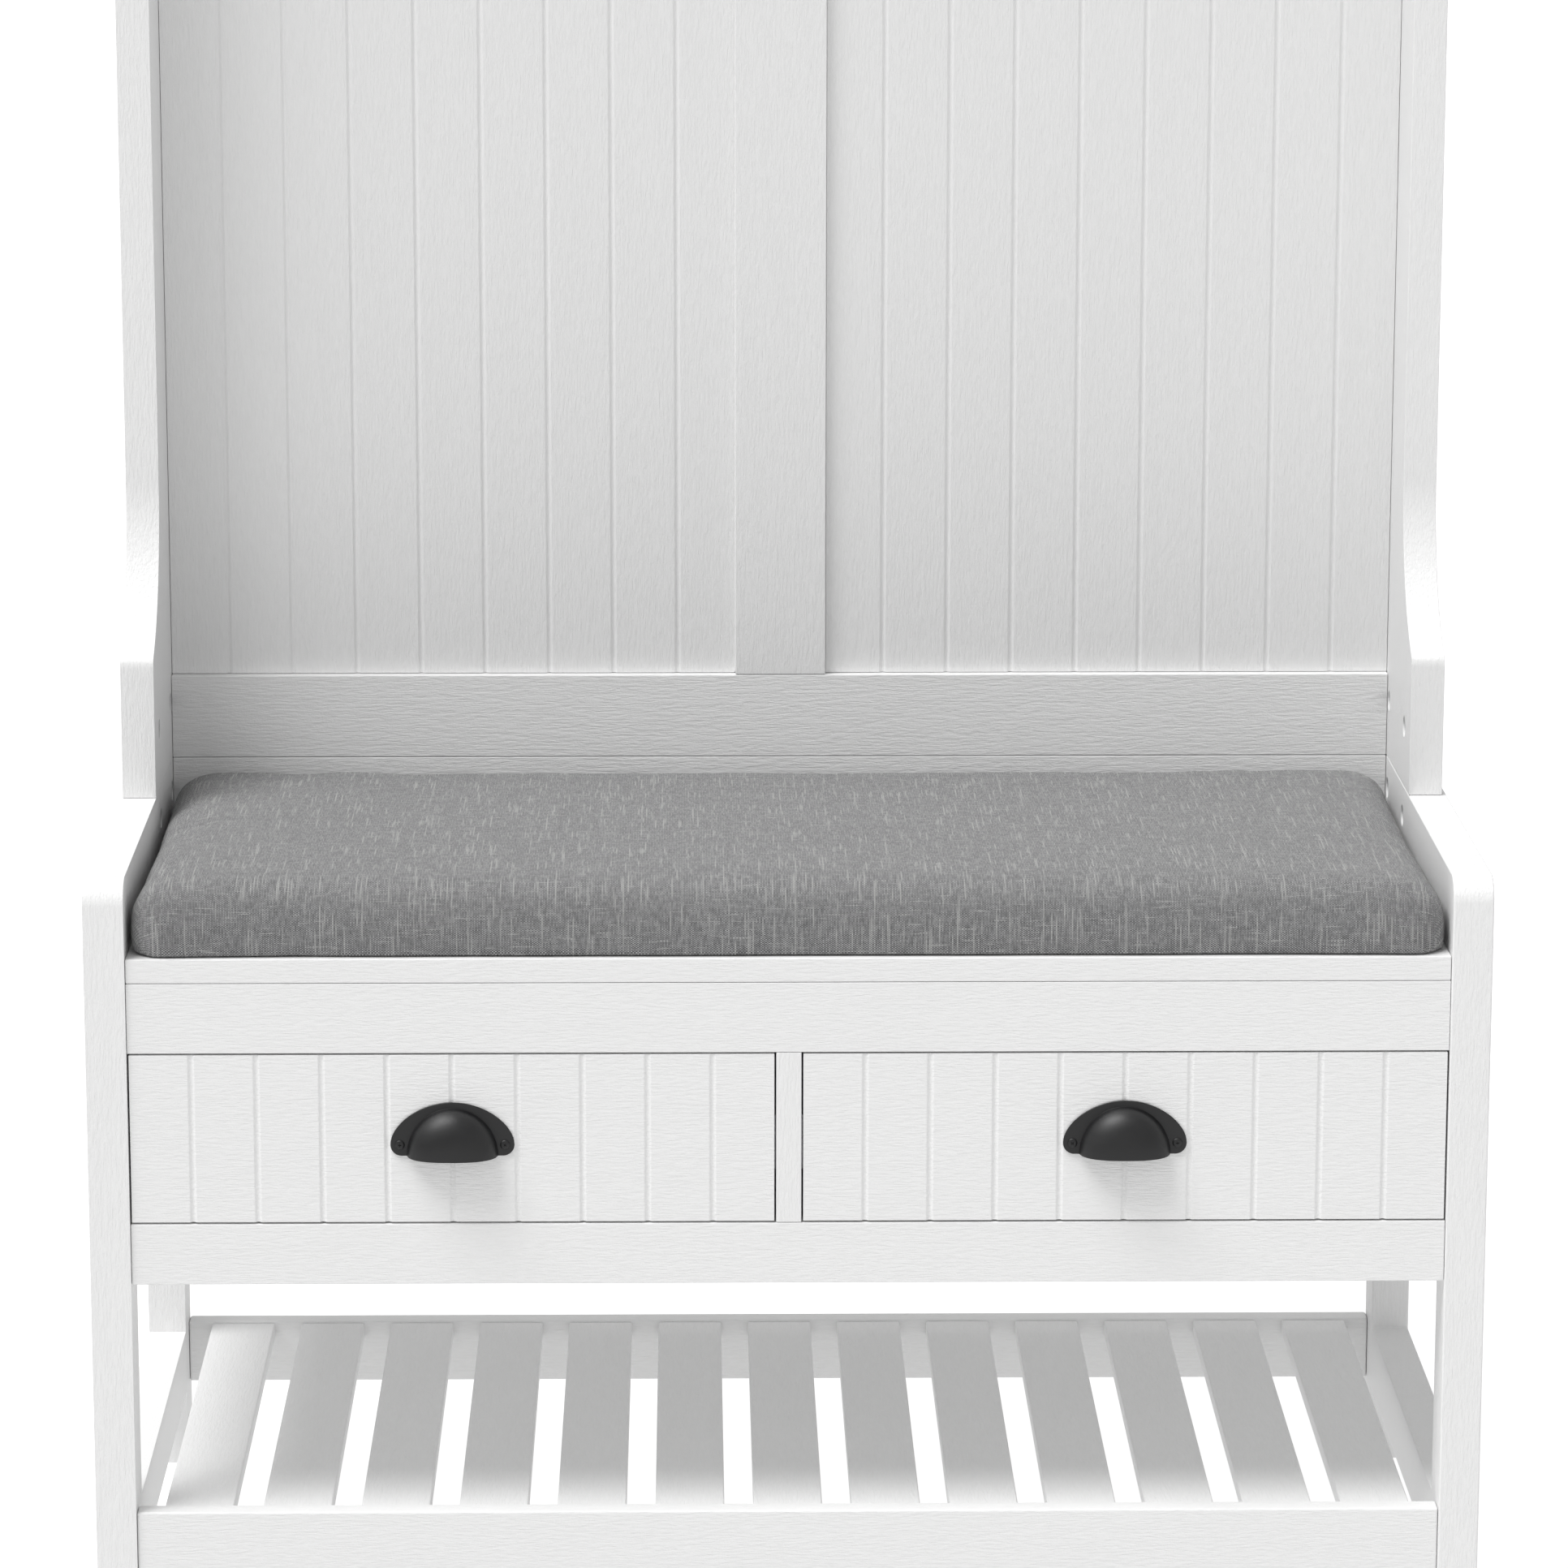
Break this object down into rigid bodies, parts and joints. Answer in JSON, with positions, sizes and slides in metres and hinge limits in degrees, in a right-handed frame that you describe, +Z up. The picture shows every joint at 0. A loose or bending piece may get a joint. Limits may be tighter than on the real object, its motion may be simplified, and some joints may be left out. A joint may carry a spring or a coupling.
{
  "type": "hall tree",
  "caption": "White painted hall tree with a cushioned storage bench, grooved drawers with black cup pulls, a slatted shoe rack, a beadboard back, coat hooks and a top shelf.",
  "frame": {"origin": "middle of the whole object's footprint, on the floor", "axes": "+Z up, the front with the drawers faces -Y, +X to the right as seen from the front"},
  "size_m": [1.02, 0.5012, 1.8],
  "materials": {
    "painted_wood": "white satin paint over a faint wood grain",
    "bare_wood": "clear matt lacquer on pale wood",
    "black_metal": "black satin powder coat",
    "zinc_steel": "bright zinc plate",
    "linen": "mid-grey slub linen weave"
  },
  "bodies": {
    "cabinet": {"bench_side_left": "painted_wood", "upright_left": "painted_wood", "bench_side_right": "painted_wood", "upright_right": "painted_wood", "seat_board": "painted_wood", "apron_rail": "painted_wood", "lower_rail": "painted_wood", "case_bottom": "painted_wood", "case_back": "painted_wood", "bench_back_rail": "painted_wood", "centre_divider": "painted_wood", "rack_front_rail": "painted_wood", "rack_rear_rail": "painted_wood", "rack_slat_1": "painted_wood", "rack_slat_2": "painted_wood", "rack_slat_3": "painted_wood", "rack_slat_4": "painted_wood", "rack_slat_5": "painted_wood", "rack_slat_6": "painted_wood", "rack_slat_7": "painted_wood", "rack_slat_8": "painted_wood", "rack_slat_9": "painted_wood", "rack_slat_10": "painted_wood", "rack_slat_11": "painted_wood", "rack_slat_12": "painted_wood", "rack_slat_13": "painted_wood", "drawer_left_runner_fixed_left": "zinc_steel", "drawer_left_runner_fixed_right": "zinc_steel", "drawer_right_runner_fixed_left": "zinc_steel", "drawer_right_runner_fixed_right": "zinc_steel", "seat_cushion": "linen", "bottom_rail": "painted_wood", "top_rail": "painted_wood", "centre_stile": "painted_wood", "back_panel_left": "painted_wood", "back_panel_right": "painted_wood", "top_shelf": "painted_wood", "coat_hook_1": "black_metal", "coat_hook_2": "black_metal", "coat_hook_3": "black_metal", "coat_hook_4": "black_metal"},
    "drawer_left": {"drawer_left_front": "painted_wood", "drawer_left_side_left": "bare_wood", "drawer_left_side_right": "bare_wood", "drawer_left_back": "bare_wood", "drawer_left_bottom": "bare_wood", "drawer_left_pull": "black_metal", "drawer_left_runner_moving_left": "zinc_steel", "drawer_left_runner_moving_right": "zinc_steel"},
    "drawer_right": {"drawer_right_front": "painted_wood", "drawer_right_side_left": "bare_wood", "drawer_right_side_right": "bare_wood", "drawer_right_back": "bare_wood", "drawer_right_bottom": "bare_wood", "drawer_right_pull": "black_metal", "drawer_right_runner_moving_left": "zinc_steel", "drawer_right_runner_moving_right": "zinc_steel"}
  },
  "joints": [
    {"name": "drawer_left_slide", "type": "slide", "parent": "cabinet", "child": "drawer_left", "axis": [0, -1, 0], "range_m": [0, 0.26]},
    {"name": "drawer_right_slide", "type": "slide", "parent": "cabinet", "child": "drawer_right", "axis": [0, -1, 0], "range_m": [0, 0.26]}
  ]
}
